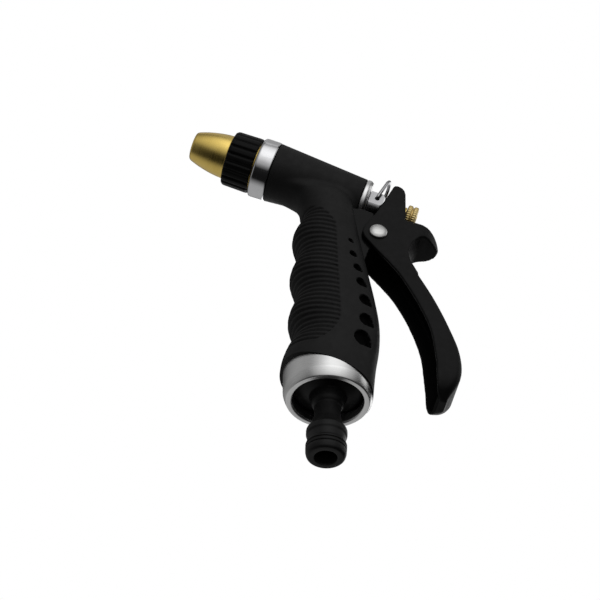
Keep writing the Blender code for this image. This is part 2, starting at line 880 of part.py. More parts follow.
make_body_casting()
make_grip_cover()
make_base_ring()
make_hose_plug()
make_hose_seals()
make_front_ring()
make_spout()
make_spray_tip()
make_grip_collar()
make_valve()
make_spring()
make_cap_ring()
make_gland_nut()
make_hold_bail()
make_trigger()
make_rivet()
make_adjusting_nut()
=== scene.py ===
"""The looks of the hose spray nozzle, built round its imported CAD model.

Lengths are millimetres in the tables and functions below; MM turns them into metres. The frame is
the CAD's: +Z up the handle from the plug's end face, -X towards the spray tip, Y across.
"""

import math

import bmesh
import bpy
import numpy as np
from mathutils import Matrix, Vector


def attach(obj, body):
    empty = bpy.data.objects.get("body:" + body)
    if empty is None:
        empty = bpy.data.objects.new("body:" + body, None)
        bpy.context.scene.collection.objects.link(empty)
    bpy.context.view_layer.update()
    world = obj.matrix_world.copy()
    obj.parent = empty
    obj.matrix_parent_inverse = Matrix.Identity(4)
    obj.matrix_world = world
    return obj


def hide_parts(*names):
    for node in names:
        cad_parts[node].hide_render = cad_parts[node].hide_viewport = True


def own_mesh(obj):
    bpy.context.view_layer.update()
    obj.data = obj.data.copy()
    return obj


MM = 0.001
TURN_STEPS = 112
WELD_DISTANCE = 1e-6

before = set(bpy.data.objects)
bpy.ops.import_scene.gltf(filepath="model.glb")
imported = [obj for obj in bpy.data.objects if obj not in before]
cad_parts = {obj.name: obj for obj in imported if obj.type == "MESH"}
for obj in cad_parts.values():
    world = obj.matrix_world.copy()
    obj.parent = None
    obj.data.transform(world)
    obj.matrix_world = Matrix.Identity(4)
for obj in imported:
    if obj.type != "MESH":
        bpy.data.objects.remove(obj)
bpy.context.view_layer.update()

# ---- driving dimensions

BARREL_SLOPE = math.radians(15.0)
BARREL_ORIGIN = (-37.8, 0.0, 163.0)
BARREL_FRONT, BARREL_REAR = 8.4, 51.2  # the rubber's ends, behind the front ring's face
BARREL_RADII = (13.9, 10.75)
BARREL_TAPER_START = 8.9
GAP = 0.3

RING_TILT = 0.30  # fall of the base ring's upper edge per unit of X
RING_EDGE = 36.8
SCALLOP_PITCH = 24.4
SCALLOP_DEPTH = 1.3
SCALLOP_BUMP = 71.0
SCALLOP_LOW, SCALLOP_HIGH = 50.0, 136.0
COVER_WALL = 2.4
COVER_MESH = 0.69  # the skin's mesh size before its detailed areas are split once more
OVAL_POWER = 2.3
# height, front, rear, half width of the handle
HANDLE = (
    (28.0, -20.2, 18.4, 19.3),
    (45.0, -20.5, 19.5, 18.9),
    (57.5, -17.4, 20.9, 17.6),
    (70.0, -17.3, 20.9, 16.6),
    (82.5, -17.4, 19.0, 15.8),
    (95.0, -17.7, 16.6, 15.1),
    (106.0, -17.8, 14.3, 14.6),
    (118.0, -17.7, 12.0, 14.1),
    (130.0, -16.2, 9.7, 13.5),
    (138.5, -16.4, 8.6, 12.6),
    (144.0, -19.6, 8.3, 11.4),
    (147.2, -26.0, 8.0, 10.2),
    (150.5, -33.6, 7.4, 8.0),
)
HANDLE_TOP = 150.4
BLEND = 2.2  # softness of the crease between handle and barrel

RIB_PITCH = 2.72
RIB_DEPTH = 0.82
RIB_FALL = 0.14  # the ribs drop towards the rear
PANEL_TOP, PANEL_BOTTOM = 133.2, 46.6  # the ribbed panel, at the handle's front
# teardrop recesses along the handle's rear: x, z, length, width
RECESSES = (
    (5.8, 110.9, 2.9, 2.1),
    (7.0, 102.7, 4.0, 3.0),
    (9.3, 95.0, 4.8, 4.0),
    (11.0, 86.2, 5.6, 5.1),
    (13.0, 75.8, 6.8, 6.1),
    (13.5, 63.8, 7.6, 7.3),
    (11.8, 52.2, 8.8, 8.3),
)
RECESS_TILT = math.radians(-25.0)
RECESS_DEPTH = 1.9

PIVOT = (18.5, 0.0, 122.3)
TRIGGER_HALF = 9.3
TRIGGER_WALL, TRIGGER_BACK = 1.9, 2.0
LUG_HALF = 7.0
WALL_REAR = 30.6
FLANK_REAR = 31.3
# front point, rear point, half width of the trigger arm's sections
ARM = (
    ((24.0, 104.6), (33.6, 107.8), 9.25),
    ((28.9, 98.0), (37.8, 100.4), 9.25),
    ((34.0, 88.5), (43.2, 90.0), 9.4),
    ((38.3, 78.5), (47.6, 79.5), 9.9),
    ((41.6, 68.0), (51.2, 68.8), 10.7),
    ((42.9, 58.0), (54.0, 58.8), 11.5),
    ((43.7, 49.0), (55.1, 49.4), 11.9),
    ((43.9, 42.0), (54.4, 42.8), 11.5),
    ((44.3, 37.6), (52.3, 38.5), 10.0),
    ((45.1, 35.2), (50.4, 35.8), 7.6),
    ((46.6, 33.7), (49.6, 33.9), 4.0),
)

BAIL_HEIGHT = 58.4
BAIL_HALF = 6.4
BAIL_LENGTH = 15.8
BAIL_WIRE = 0.8
BAIL_LEAN = math.radians(24.5)
BAIL_BEND, BAIL_CORNER = 1.3, 5.7
TIP_END = 31.6

# the studio's light: directions of its broad source and its two fills, and its overall strength
FRONT_LOBE = (0.03, -0.95, 0.28)
LEFT_LOBE = (-0.85, -0.05, 0.5)
BEHIND_LOBE = (-0.25, 0.9, -0.38)
STUDIO_STRENGTH = 1.15
FLOOR_GLOW = 0.42
FLOOR_FADE = (0.5, 1.1)  # metres from the object


# ---- materials


class Paint:
    """A procedural material: Principled shader, object coordinates, noise for colour, gloss and bump."""

    def __init__(self, name, colour, roughness, metallic=0.0, specular=0.5):
        self.material = bpy.data.materials.new(name)
        self.material.use_nodes = True
        self.tree = self.material.node_tree
        self.shader = self.tree.nodes["Principled BSDF"]
        self.colour = colour
        self.roughness = roughness
        self.shader.inputs["Base Color"].default_value = (*colour, 1.0)
        self.shader.inputs["Roughness"].default_value = roughness
        self.shader.inputs["Metallic"].default_value = metallic
        self.shader.inputs["Specular IOR Level"].default_value = specular
        self.place = self.node("ShaderNodeTexCoord").outputs["Object"]
        self.normal = None

    def node(self, kind, **settings):
        made = self.tree.nodes.new(kind)
        for key, value in settings.items():
            setattr(made, key, value)
        return made

    def link(self, out, into):
        self.tree.links.new(out, into)

    def stretched(self, stretch, turn=(0.0, 0.0, 0.0)):
        """Object coordinates turned and then scaled, for brushed or moulded grain."""
        spin = self.node("ShaderNodeMapping", vector_type="TEXTURE")
        spin.inputs["Rotation"].default_value = turn
        self.link(self.place, spin.inputs["Vector"])
        scale = self.node("ShaderNodeMapping")
        scale.inputs["Scale"].default_value = stretch
        self.link(spin.outputs["Vector"], scale.inputs["Vector"])
        return scale.outputs["Vector"]

    def noise(self, size_mm, detail=3.0, where=None):
        """Noise whose features are about size_mm across."""
        made = self.node("ShaderNodeTexNoise")
        made.inputs["Scale"].default_value = 1.0 / (size_mm * MM)
        made.inputs["Detail"].default_value = detail
        self.link(where or self.place, made.inputs["Vector"])
        return made.outputs["Fac"]

    def ramp(self, value, low, high, out_low, out_high):
        """A value's range from low to high, mapped onto another range."""
        made = self.node("ShaderNodeMapRange")
        made.inputs["From Min"].default_value = low
        made.inputs["From Max"].default_value = high
        made.inputs["To Min"].default_value = out_low
        made.inputs["To Max"].default_value = out_high
        self.link(value, made.inputs["Value"])
        return made.outputs["Result"]

    def vary_roughness(self, value, spread):
        out = self.ramp(value, 0.3, 0.7, self.roughness - spread, self.roughness + spread)
        self.link(out, self.shader.inputs["Roughness"])

    def vary_colour(self, value, other):
        mix = self.node("ShaderNodeMix", data_type="RGBA")
        mix.inputs["A"].default_value = (*self.colour, 1.0)
        mix.inputs["B"].default_value = (*other, 1.0)
        self.link(self.ramp(value, 0.35, 0.7, 0.0, 1.0), mix.inputs["Factor"])
        self.link(mix.outputs["Result"], self.shader.inputs["Base Color"])

    def bump(self, value, height_mm, strength=1.0):
        """Adds a relief on top of the ones before it."""
        made = self.node("ShaderNodeBump")
        made.inputs["Strength"].default_value = strength
        made.inputs["Distance"].default_value = height_mm * MM
        self.link(value, made.inputs["Height"])
        if self.normal is not None:
            self.link(self.normal, made.inputs["Normal"])
        self.normal = made.outputs["Normal"]
        self.link(self.normal, self.shader.inputs["Normal"])


def rubber(name):
    """Moulded black rubber: fine matt grain, slightly greyer where it is rubbed."""
    paint = Paint(name, (0.0086, 0.0086, 0.0087), 0.6, specular=0.18)
    paint.vary_colour(paint.noise(14.0), (0.0105, 0.0105, 0.0106))
    paint.vary_roughness(paint.noise(3.0), 0.05)
    paint.bump(paint.noise(0.22, 2.0), 0.02, 0.5)
    paint.bump(paint.noise(1.6, 3.0), 0.03, 0.35)
    return paint.material


def coated_metal(name, colour, roughness, grain, specular, depth):
    """Die-cast metal under black paint: faint orange peel over a slight waviness."""
    paint = Paint(name, colour, roughness, specular=specular)
    paint.vary_colour(paint.noise(9.0), tuple(1.25 * c for c in colour))
    paint.vary_roughness(paint.noise(2.2), 0.05)
    paint.bump(paint.noise(grain, 2.0), depth, 0.5)
    paint.bump(paint.noise(5.0, 2.0), 0.05, 0.3)
    return paint.material


def moulded_plastic(name, colour, roughness, specular):
    """Injection-moulded plastic: smooth, with faint flow marks down its length."""
    paint = Paint(name, colour, roughness, specular=specular)
    flow = paint.noise(4.0, 4.0, paint.stretched((1.0, 1.0, 0.25)))
    paint.vary_colour(flow, tuple(1.4 * c for c in colour))
    paint.vary_roughness(flow, 0.05)
    paint.bump(paint.noise(0.3, 2.0), 0.012, 0.4)
    return paint.material


def turned_metal(name, colour, other, roughness, along, pitch, spread=0.05, depth=0.004):
    """Lathe-turned metal: fine lines round the axis of the barrel or of the handle."""
    paint = Paint(name, colour, roughness, 1.0)
    turn = (0.0, math.radians(-90.0) + BARREL_SLOPE, 0.0) if along == "barrel" else (0.0, 0.0, 0.0)
    lines = paint.noise(pitch, 2.0, paint.stretched((0.03, 0.03, 1.0), turn))
    cloud = paint.noise(6.0, 4.0)
    paint.vary_colour(cloud, other)
    paint.vary_roughness(lines, spread)
    paint.bump(lines, depth, 0.5)
    return paint.material


RUBBER = rubber("moulded_rubber")
CASTING = coated_metal("glossy_black_casting", (0.0032, 0.0032, 0.0034), 0.2, 0.9, 0.1, 0.006)
LEVER = coated_metal("matt_black_coating", (0.0062, 0.0062, 0.0063), 0.5, 0.3, 0.11, 0.015)
# painted shade: a darker, less glossy copy of the lever's black coating, standing in for the shade inside the lever's
# channel
LEVER_CHANNEL_PAINTED_SHADE = coated_metal("lever_channel_painted_shade", (0.003, 0.003, 0.003), 0.6, 0.3, 0.06, 0.015)
PLASTIC = moulded_plastic("black_moulded_plastic", (0.0078, 0.0078, 0.0080), 0.42, 0.17)
COLLAR = moulded_plastic("black_collar_plastic", (0.0032, 0.0032, 0.0033), 0.42, 0.085)
SEAL = moulded_plastic("black_seal_rubber", (0.0068, 0.0068, 0.0069), 0.45, 0.16)
# painted shade: a near-black, barely glossy material for the recesses' floors and lower walls, standing in for the
# shade that falls in them
RECESS_PAINTED_SHADE = moulded_plastic("recess_painted_shade", (0.0008, 0.0008, 0.0008), 0.5, 0.018)
SATIN = turned_metal("satin_ring_metal", (0.76, 0.76, 0.755), (0.70, 0.70, 0.70), 0.3, "handle", 0.35, 0.04, 0.003)
CHROME = turned_metal("bright_chrome", (0.70, 0.70, 0.71), (0.64, 0.64, 0.65), 0.11, "barrel", 0.3, 0.03, 0.002)
GLAND = turned_metal("satin_chrome", (0.50, 0.50, 0.51), (0.44, 0.44, 0.45), 0.2, "barrel", 0.5, 0.05, 0.004)
RIVET = turned_metal("rivet_steel_blank", (0.72, 0.72, 0.71), (0.52, 0.52, 0.51), 0.4, "handle", 0.9, 0.08, 0.03)
WIRE = turned_metal("bright_wire", (0.46, 0.46, 0.47), (0.38, 0.38, 0.39), 0.14, "handle", 0.8, 0.04, 0.003)
BRASS = turned_metal("turned_brass", (0.82, 0.605, 0.172), (0.75, 0.545, 0.145), 0.3, "barrel", 0.28, 0.05, 0.005)
PALE_BRASS = turned_metal("pale_brass", (0.70, 0.55, 0.25), (0.60, 0.45, 0.18), 0.42, "barrel", 0.4, 0.05, 0.004)


# ---- mesh helpers


def linked(name, data):
    """A new object in the scene."""
    obj = bpy.data.objects.new(name, data)
    bpy.context.scene.collection.objects.link(obj)
    return obj


def add_piece(name, mesh, material, body, nodes):
    """Links a finished mesh as a piece of the visual model, in place of CAD nodes."""
    obj = linked(name, mesh)
    mesh.materials.clear()
    mesh.materials.append(material)
    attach(obj, body)
    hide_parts(*nodes)
    return obj


def drop(*objects):
    for obj in objects:
        bpy.data.objects.remove(obj, do_unlink=True)


def baked(obj):
    """The evaluated mesh of a helper object, which is removed."""
    bpy.context.view_layer.update()
    graph = bpy.context.evaluated_depsgraph_get()
    mesh = bpy.data.meshes.new_from_object(obj.evaluated_get(graph))
    drop(obj)
    return mesh


def combined(mesh, tools, operation="DIFFERENCE"):
    """A mesh after one Boolean step with each of the tool meshes."""
    target = linked("target", mesh)
    helpers = [linked("tool", tool) for tool in tools]
    for helper in helpers:
        step = target.modifiers.new("step", "BOOLEAN")
        step.operation = operation
        step.object = helper
        step.solver = "MANIFOLD"
    result = baked(target)
    drop(*helpers)
    return result


def remeshed(mesh, voxel):
    """One even skin round everything in a mesh."""
    target = linked("target", mesh)
    step = target.modifiers.new("remesh", "REMESH")
    step.mode = "VOXEL"
    step.voxel_size = voxel * MM
    return baked(target)


def relaxed(mesh, rounds):
    """A mesh with its edges rounded off."""
    target = linked("target", mesh)
    step = target.modifiers.new("smooth", "SMOOTH")
    step.factor = 0.5
    step.iterations = rounds
    return baked(target)


def smooth_shaded(mesh, angle=40.0):
    mesh.shade_smooth()
    mesh.set_sharp_from_angle(angle=math.radians(angle))
    return mesh


def points_of(mesh):
    co = np.zeros(len(mesh.vertices) * 3)
    mesh.vertices.foreach_get("co", co)
    return co.reshape(-1, 3) / MM


def set_points(mesh, points):
    mesh.vertices.foreach_set("co", (points * MM).astype(np.float32).ravel())
    mesh.update()


def rounded(profile, radius, closed=True, steps=3):
    """A (radius, height) outline with each corner replaced by a small arc-like curve."""
    count = len(profile)
    result = []
    for i, corner in enumerate(profile):
        if not closed and i in (0, count - 1):
            result.append(corner)
            continue
        here = Vector(corner)
        before, after = Vector(profile[i - 1]), Vector(profile[(i + 1) % count])
        reach = min(radius, (before - here).length * 0.45, (after - here).length * 0.45)
        turn = (before - here).angle(here - after, 0.0) if reach > 0 else 0.0
        if turn < math.radians(12.0):
            result.append(corner)
            continue
        start = here + (before - here).normalized() * reach
        end = here + (after - here).normalized() * reach
        for k in range(steps + 1):
            t = k / steps
            point = start * (1 - t) ** 2 + here * 2 * t * (1 - t) + end * t**2
            result.append((point.x, point.y))
    return result


def turned(profile, closed=True, steps=TURN_STEPS, place=None):
    """A turned mesh about Z. An open profile starts and ends on the axis."""
    shape = bmesh.new()
    rows = []
    for r, h in profile:
        if r < 1e-6:
            rows.append([shape.verts.new((0.0, 0.0, h * MM))])
        else:
            angles = (2 * math.pi * i / steps for i in range(steps))
            rows.append([shape.verts.new((r * math.cos(a) * MM, r * math.sin(a) * MM, h * MM)) for a in angles])
    pairs = list(zip(rows[:-1], rows[1:]))
    if closed:
        pairs.append((rows[-1], rows[0]))
    for upper, lower in pairs:
        skin(shape, upper, lower)
    return finished(shape, place)


def skin(shape, upper, lower):
    """Faces between two rows round an axis, either of which may be a single point."""
    count = max(len(upper), len(lower))
    if len(upper) == len(lower) == 1:
        return
    for i in range(count):
        j = (i + 1) % count
        if len(upper) == 1:
            shape.faces.new((upper[0], lower[i], lower[j]))
        elif len(lower) == 1:
            shape.faces.new((upper[j], upper[i], lower[0]))
        else:
            shape.faces.new((upper[i], lower[i], lower[j], upper[j]))


def as_mesh(shape):
    """A BMesh as a mesh."""
    mesh = bpy.data.meshes.new("made")
    shape.to_mesh(mesh)
    shape.free()
    return mesh


def finished(shape, place=None):
    """A BMesh as a shaded mesh, moved to its place."""
    bmesh.ops.recalc_face_normals(shape, faces=shape.faces)
    mesh = as_mesh(shape)
    if place is not None:
        mesh.transform(place)
    return smooth_shaded(mesh)


def loft(rings, closed=False, place=None):
    """A skin over rings of equal length, capped at both ends or closed onto its first ring."""
    shape = bmesh.new()
    rows = [[shape.verts.new(Vector(point) * MM) for point in ring] for ring in rings]
    pairs = list(zip(rows[:-1], rows[1:]))
    if closed:
        pairs.append((rows[-1], rows[0]))
    for lower, upper in pairs:
        skin(shape, lower, upper)
    if not closed:
        shape.faces.new(rows[0][::-1])
        shape.faces.new(rows[-1])
    return finished(shape, place)


def add_line(curve, points):
    spline = curve.splines.new("POLY")
    spline.points.add(len(points) - 1)
    for point, co in zip(spline.points, points):
        point.co = (*(c * MM for c in co), 1.0)
    return spline


def welded(mesh):
    """A mesh as a BMesh, with points in the same place merged."""
    shape = bmesh.new()
    shape.from_mesh(mesh)
    bmesh.ops.remove_doubles(shape, verts=shape.verts, dist=WELD_DISTANCE)
    return shape


# where a flat outline lies: X and Z of the frame, Y and Z, or X and Y
SIDE_PLANE = Matrix.Rotation(math.radians(90.0), 4, "X")
FRONT_PLANE = Matrix(((0, 0, 1, 0), (1, 0, 0, 0), (0, 1, 0, 0), (0, 0, 0, 1)))
FLAT_PLANE = Matrix.Identity(4)


def plate(outline, half, plane=SIDE_PLANE, offset=(0.0, 0.0, 0.0)):
    """A flat outline extruded by half to each side."""
    curve = bpy.data.curves.new("plate", "CURVE")
    curve.dimensions = "2D"
    curve.fill_mode = "BOTH"
    curve.extrude = half * MM
    add_line(curve, [(x, z, 0.0) for x, z in outline]).use_cyclic_u = True
    shape = welded(baked(linked("plate", curve)))
    return finished(shape, Matrix.Translation(Vector(offset) * MM) @ plane)


def wire(points, radius, resolution=5):
    """A round wire through points, with flat ends."""
    curve = bpy.data.curves.new("wire", "CURVE")
    curve.dimensions = "3D"
    curve.bevel_depth = radius * MM
    curve.bevel_resolution = resolution
    curve.use_fill_caps = True
    add_line(curve, points)
    return finished(welded(baked(linked("wire", curve))))


def barrel_place():
    """Local Z along the barrel towards the tip, local Y along the frame's Y."""
    forward = Vector((-math.cos(BARREL_SLOPE), 0.0, math.sin(BARREL_SLOPE)))
    side = Vector((0.0, 1.0, 0.0))
    turn = Matrix((side.cross(forward), side, forward)).transposed().to_4x4()
    return Matrix.Translation(Vector(BARREL_ORIGIN) * MM) @ turn


BARREL = barrel_place()
PIVOT_PLACE = Matrix.Translation(Vector(PIVOT) * MM) @ Matrix.Rotation(math.radians(-90.0), 4, "X")


def arc(centre, radius, start, end, steps):
    """Points round a centre, with the angles in degrees."""
    points = []
    for i in range(steps + 1):
        angle = math.radians(start + (end - start) * i / steps)
        points.append((centre[0] + radius * math.cos(angle), centre[1] + radius * math.sin(angle)))
    return points


def rod(radius, low, high):
    """The open profile of a plain cylinder."""
    return [(0.0, high), (radius, high), (radius, low), (0.0, low)]


def spread(low, high, count):
    return [low + (high - low) * i / (count - 1) for i in range(count)]


def between(t, low, high, slope_low, slope_high):
    """A smooth curve's value at t from 0 to 1, by the values and slopes at its ends."""
    return (
        low * (2 * t**3 - 3 * t**2 + 1)
        + slope_low * (t**3 - 2 * t**2 + t)
        + high * (3 * t**2 - 2 * t**3)
        + slope_high * (t**3 - t**2)
    )


def curved(rows, per_span):
    """Rows of numbers on a smooth curve through the given rows, without its first row."""
    rows = [np.array(row) for row in rows]
    result = []
    for i in range(len(rows) - 1):
        p0, p1, p2 = rows[max(i - 1, 0)], rows[i], rows[i + 1]
        p3 = rows[min(i + 2, len(rows) - 1)]
        for k in range(1, per_span + 1):
            result.append(between(k / per_span, p1, p2, (p2 - p0) / 2, (p3 - p1) / 2))
    return result


def bulged(points):
    """More points on a smooth curve through an outline's points, after its first."""
    return [tuple(point) for point in curved(points, 4)]


# ---- the handle's form as a field


def handle_values(heights):
    """The handle's front, rear and half width at each height, on smooth curves through its rows."""
    rows = np.array(HANDLE)
    z = np.clip(heights, rows[0, 0], rows[-1, 0] - 1e-6)
    k = np.clip(np.searchsorted(rows[:, 0], z, side="right") - 1, 0, len(rows) - 2)
    before, low, high = rows[np.maximum(k - 1, 0)], rows[k], rows[k + 1]
    after = rows[np.minimum(k + 2, len(rows) - 1)]
    span = high[:, 0] - low[:, 0]
    t = ((z - low[:, 0]) / span)[:, None]
    slope_low = (high - before) / (high[:, :1] - before[:, :1]) * span[:, None]
    slope_high = (after - low) / (after[:, :1] - low[:, :1]) * span[:, None]
    values = between(t, low, high, slope_low, slope_high)
    fade = np.clip((z - SCALLOP_LOW) / 6.0, 0, 1) * np.clip((SCALLOP_HIGH - z) / 5.0, 0, 1)
    wave = SCALLOP_DEPTH * fade * np.cos(2 * math.pi * (z - SCALLOP_BUMP) / SCALLOP_PITCH)
    return values[:, 1] - wave, values[:, 2], values[:, 3]


def barrel_local(points):
    """Distance behind the front ring's face, and from the barrel's axis."""
    forward = np.array([-math.cos(BARREL_SLOPE), 0.0, math.sin(BARREL_SLOPE)])
    offset = points - np.array(BARREL_ORIGIN)
    along = offset @ forward
    return -along, np.linalg.norm(offset - along[:, None] * forward, axis=1)


def cover_field(points):
    """Roughly the distance outside the rubber's skin: handle and barrel with a soft crease."""
    front, rear, half = handle_values(points[:, 2])
    centre, depth = (front + rear) / 2, (rear - front) / 2
    u = np.abs(points[:, 0] - centre) / depth
    v = np.abs(points[:, 1]) / half
    scale = (u**OVAL_POWER + v**OVAL_POWER) ** (1 / OVAL_POWER)
    away = np.hypot(points[:, 0] - centre, points[:, 1])
    handle = away * (1 - 1 / np.maximum(scale, 1e-6))
    handle = np.maximum(handle, points[:, 2] - HANDLE_TOP)
    back, radius = barrel_local(points)
    share = (back - BARREL_TAPER_START) / (BARREL_REAR - BARREL_TAPER_START)
    barrel = radius - (BARREL_RADII[0] + (BARREL_RADII[1] - BARREL_RADII[0]) * share)
    mix = np.clip(0.5 + 0.5 * (barrel - handle) / BLEND, 0, 1)
    return barrel * (1 - mix) + handle * mix - BLEND * mix * (1 - mix)


def cover_slope(points):
    """The cover field's direction and steepness."""
    step = 0.05
    parts = []
    for axis in range(3):
        shift = np.zeros(3)
        shift[axis] = step
        parts.append((cover_field(points + shift) - cover_field(points - shift)) / (2 * step))
    slope = np.stack(parts, axis=1)
    size = np.linalg.norm(slope, axis=1, keepdims=True)
    return slope / np.maximum(size, 1e-6), np.maximum(size[:, 0], 0.2)


def oval_ring(height, inset, count=96):
    """The handle's outline at a height, moved inwards."""
    front, rear, half = (float(v[0]) for v in handle_values(np.array([height])))
    front, rear, half = front + inset, rear - inset, half - inset
    centre, depth = (front + rear) / 2, (rear - front) / 2
    points = []
    for i in range(count):
        c, s = math.cos(2 * math.pi * i / count), math.sin(2 * math.pi * i / count)
        x = centre + depth * math.copysign(abs(c) ** (2 / OVAL_POWER), c)
        y = half * math.copysign(abs(s) ** (2 / OVAL_POWER), s)
        points.append((x, y, height))
    return points


# ---- rubber cover


def step_between(value, low, high):
    """A soft step from 0 at low to 1 at high."""
    t = np.clip((value - low) / (high - low), 0, 1)
    return t * t * (3 - 2 * t)


def panel_edge(z):
    """X of the ribbed panel's rear edge at a height."""
    return 1.4 - 2.9 * np.clip((z - 68.0) / 52.0, 0, 1)


def rib_depth(points):
    """How far the skin sinks between the ribs of the finger panel."""
    x, z = points[:, 0], points[:, 2]
    level = z + RIB_FALL * x
    wave = 0.5 + 0.5 * np.cos(2 * math.pi * level / RIB_PITCH)
    groove = step_between(wave, 0.18, 0.90)
    top = PANEL_TOP - 0.062 * np.maximum(x + 16.0, 0) ** 2
    low = PANEL_BOTTOM + 0.0040 * np.maximum(x + 14.0, 0) ** 3
    inside = (
        step_between(panel_edge(z) - x, -0.15, 0.45)
        * step_between(top - z, -0.2, 0.5)
        * step_between(z - low, -0.2, 0.5)
    )
    return RIB_DEPTH * groove * inside


def recess_depth(points):
    """The row of teardrop recesses along each side of the handle's rear."""
    total = np.zeros(len(points))
    for x, z, length, width in RECESSES:
        dx, dz = points[:, 0] - x, points[:, 2] - z
        along = dx * math.cos(RECESS_TILT) + dz * math.sin(RECESS_TILT)
        across = dz * math.cos(RECESS_TILT) - dx * math.sin(RECESS_TILT)
        taper = 1.05 - 0.45 * np.clip(along / (length / 2), 0, 1)
        size = np.hypot(along / (length / 2), across / (width / 2 * taper))
        total = np.maximum(total, 1.0 - step_between(size * length, length - 0.9, length + 0.3))
    return RECESS_DEPTH * total * (np.abs(points[:, 1]) > 3.0)


def cover_solid():
    """Handle and barrel as one closed skin, a little longer than the rubber is."""
    handle = loft([oval_ring(h, 0.0) for h in spread(24.0, HANDLE_TOP, 52)])
    barrel = turned(
        [(0.0, -4.0), (14.2, -4.0), (13.94, -8.4), (BARREL_RADII[1], -BARREL_REAR), (10.4, -56.0), (0.0, -56.0)],
        closed=False,
        place=BARREL,
    )
    shape = bmesh.new()
    shape.from_mesh(handle)
    shape.from_mesh(barrel)
    return remeshed(as_mesh(shape), COVER_MESH)


def refine(mesh, wanted):
    """Splits the faces whose corners are all wanted, once."""
    shape = bmesh.new()
    shape.from_mesh(mesh)
    shape.verts.ensure_lookup_table()
    edges = [e for e in shape.edges if wanted[e.verts[0].index] and wanted[e.verts[1].index]]
    bmesh.ops.subdivide_edges(shape, edges=edges, cuts=1, use_grid_fill=True)
    return as_mesh(shape)


def onto_field(points, rounds=4):
    """Moves points onto the cover's skin, where they lie near it."""
    for _ in range(rounds):
        value = cover_field(points)
        normal, size = cover_slope(points)
        move = np.clip(value / size, -0.6, 0.6)
        back, _radius = barrel_local(points)
        # the closed ends, which are cut off later, stay where they are
        free = (points[:, 2] > 26.0) & ((back > 5.0) | (points[:, 2] < 135.0)) & (back < 55.0)
        move = np.where(free & (np.abs(value) < 4.0), move, 0.0)
        points = points - normal * move[:, None]
    return points


def cover_tools():
    """What is cut out of the cover: its hollow, its ends and the openings for ring and lug."""
    hollow = loft([oval_ring(h, COVER_WALL, 48) for h in [43.9] + spread(48.0, 146.0, 18) + [149.8]])
    ring_neck = turned(rod(15.7, 20.0, 46.2), closed=False)
    bore = turned(
        [(0.0, 2.0), (12.3, 2.0), (12.3, -8.6), (9.2, -BARREL_REAR), (9.2, -60.0), (0.0, -60.0)],
        closed=False,
        place=BARREL,
    )
    front_end = turned(rod(30.0, -BARREL_FRONT, 6.0), closed=False, steps=16, place=BARREL)
    rear_end = turned(rod(13.5, -62.0, -BARREL_REAR), closed=False, steps=16, place=BARREL)
    foot = slanted_slab(below=True, reach=0.2)
    lug = plate(lug_outline(GAP), LUG_HALF + GAP)
    return [hollow, ring_neck, bore, front_end, rear_end, foot, lug]


def make_cover():
    """The rubber: smooth skin, ribbed finger panel, teardrop recesses and the hollow inside."""
    mesh = cover_solid()
    points = onto_field(points_of(mesh))
    set_points(mesh, points)
    low, high, rear, margin = 43.0, 135.0, 20.5, 1.2  # the area that holds the ribs and recesses
    detailed = (points[:, 2] > low) & (points[:, 2] < high) & (points[:, 0] < rear)
    near_panel = points[:, 0] < panel_edge(points[:, 2]) + margin
    mesh = refine(mesh, detailed & (near_panel | near_recess(points)))
    points = onto_field(points_of(mesh), 2)
    normal, _size = cover_slope(points)
    sink = rib_depth(points) + recess_depth(points)
    set_points(mesh, points - normal * sink[:, None])
    mesh = combined(mesh, cover_tools())
    smooth_shaded(mesh, 55.0)
    add_piece("rubber_cover", mesh, RUBBER, "nozzle_body", ["rubber_grip_cover"])
    # painted shade: the recesses' floors and lower walls get the near-black material
    paint_faces(mesh, RECESS_PAINTED_SHADE, lambda centres, _normals: painted_shade_recess_faces(centres))


def painted_shade_recess_faces(points):
    """Marks the recesses' floors and lower walls, which get painted shade, and not the hollow behind them."""
    deep = cover_field(points)
    inside = recess_depth(points) > 0.15 * RECESS_DEPTH
    return inside & (deep < -0.25 * RECESS_DEPTH) & (deep > 0.25 - COVER_WALL)


def paint_faces(mesh, material, chosen):
    """Gives the chosen faces a second material."""
    mesh.materials.append(material)
    count = len(mesh.polygons)
    centres, normals = np.zeros(count * 3), np.zeros(count * 3)
    mesh.polygons.foreach_get("center", centres)
    mesh.polygons.foreach_get("normal", normals)
    mask = chosen(centres.reshape(-1, 3) / MM, normals.reshape(-1, 3))
    mesh.polygons.foreach_set("material_index", mask.astype(np.int32))


def near_recess(points):
    """Marks the area round the recesses that gets a finer mesh."""
    near = np.zeros(len(points), dtype=bool)
    for x, z, length, _width in RECESSES:
        near |= np.hypot(points[:, 0] - x, points[:, 2] - z) < length * 0.75 + 0.8
    return near & (np.abs(points[:, 1]) > 3.0)


def slanted_slab(below, reach):
    """A block on one side of the slanted joint between base ring and rubber."""
    far = 40.0
    front = (-far, RING_EDGE + RING_TILT * far - reach)
    rear = (far, RING_EDGE - RING_TILT * far - reach)
    outline = [(-far, 5.0), (far, 5.0), rear, front] if below else [front, rear, (far, 80.0), (-far, 80.0)]
    return plate(outline, 40.0)


def lug_outline(grow):
    """The casting's pivot lug in side view, grown all round."""
    boss = arc((PIVOT[0], PIVOT[2]), 5.6 + grow, 35.0, -75.0, 16)
    top = [(0.0, 138.2 + grow), (11.6, 138.2 + grow), (16.4 + grow, 136.4)]
    low = [(15.2 + grow, 113.0), (13.2 + grow, 105.5 - grow), (9.0, 103.6 - grow), (0.0, 103.6 - grow)]
    return top + [(20.0 + grow, 131.4)] + boss + low


# ---- turned pieces: profiles of (radius, height), where a height on the barrel is from the front
# ring's face towards the tip


def on_barrel(name, profile, material, body, nodes, fillet):
    """A turned piece on the barrel's axis."""
    add_piece(name, turned(rounded(profile, fillet), place=BARREL), material, body, nodes)


